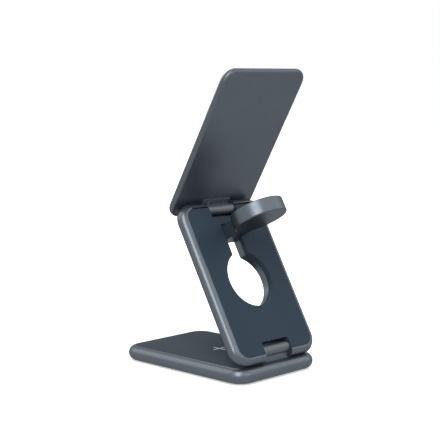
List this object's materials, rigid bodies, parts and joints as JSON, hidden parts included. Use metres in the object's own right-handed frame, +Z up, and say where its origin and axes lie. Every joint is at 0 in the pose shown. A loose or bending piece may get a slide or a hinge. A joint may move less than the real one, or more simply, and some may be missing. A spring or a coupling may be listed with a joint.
{
  "type": "folding wireless charger",
  "caption": "Folding charging stand: a flat base pad, a leaning middle panel with a keyhole and a flip-out watch disc, and a leaning phone panel.",
  "frame": {"origin": "centre of the base pad's footprint, on the surface that the stand rests on", "axes": "+Z up, X along the three hinge axes, the user in front on the -Y side, the lower hinge at +Y"},
  "size_m": [0.062, 0.0904, 0.1591],
  "materials": {
    "frame_metal": "satin gunmetal, anodised",
    "cover_plastic": "smooth dark blue-grey",
    "phone_rim_plastic": "metallic gunmetal paint",
    "soft_rubber": "matt silicone",
    "hinge_steel": "satin",
    "bright_steel": "plain",
    "copper": "enamelled copper winding",
    "ferrite": "dull grey sheet",
    "board_green": "circuit board",
    "socket_plastic": "black",
    "cable_film": "polyimide film"
  },
  "bodies": {
    "base": {"base_frame": "frame_metal", "base_top_plate": "cover_plastic", "base_foot_pad": "soft_rubber", "base_coil": "copper", "base_ferrite": "ferrite", "base_circuit_board": "board_green", "usb_socket_shell": "bright_steel", "usb_socket_tongue": "socket_plastic", "base_hinge_bracket": "hinge_steel", "base_cover_screws": "bright_steel", "base_board_screws": "bright_steel", "base_bracket_screws": "bright_steel"},
    "middle": {"mid_frame": "frame_metal", "mid_near_cover": "cover_plastic", "lower_hinge_pin": "bright_steel", "upper_hinge_pin": "bright_steel", "watch_axle": "bright_steel", "lower_hinge_clips": "bright_steel", "upper_hinge_clips": "bright_steel", "mid_flat_cable": "cable_film"},
    "watch": {"watch_housing": "frame_metal", "watch_charge_cap": "cover_plastic", "watch_ferrite": "ferrite", "watch_coil": "copper", "watch_magnet": "bright_steel"},
    "phone": {"phone_hinge_bracket": "hinge_steel", "phone_back_housing": "frame_metal", "phone_front_cover": "phone_rim_plastic", "phone_soft_pad": "soft_rubber", "phone_coil": "copper", "phone_ferrite": "ferrite", "phone_magnets": "bright_steel", "phone_circuit_board": "board_green", "phone_bracket_screws": "bright_steel"}
  },
  "joints": [
    {"name": "lower_hinge", "type": "hinge", "parent": "base", "child": "middle", "pos_m": [0, 0.039, 0.0142], "axis": [1, 0, 0], "range_deg": [0, 60.3]},
    {"name": "upper_hinge", "type": "hinge", "parent": "middle", "child": "phone", "pos_m": [0, -0.00088, 0.08413], "axis": [-1, 0, 0], "range_deg": [0, 120.6]},
    {"name": "watch_pivot", "type": "hinge", "parent": "middle", "child": "watch", "pos_m": [0, 0.00594, 0.07024], "axis": [-1, 0, 0], "range_deg": [0, 90]}
  ],
  "couplings": [
    {"joint": "upper_hinge", "follows": "lower_hinge", "ratio": 2},
    {"joint": "watch_pivot", "follows": "lower_hinge", "ratio": 1.4925}
  ]
}
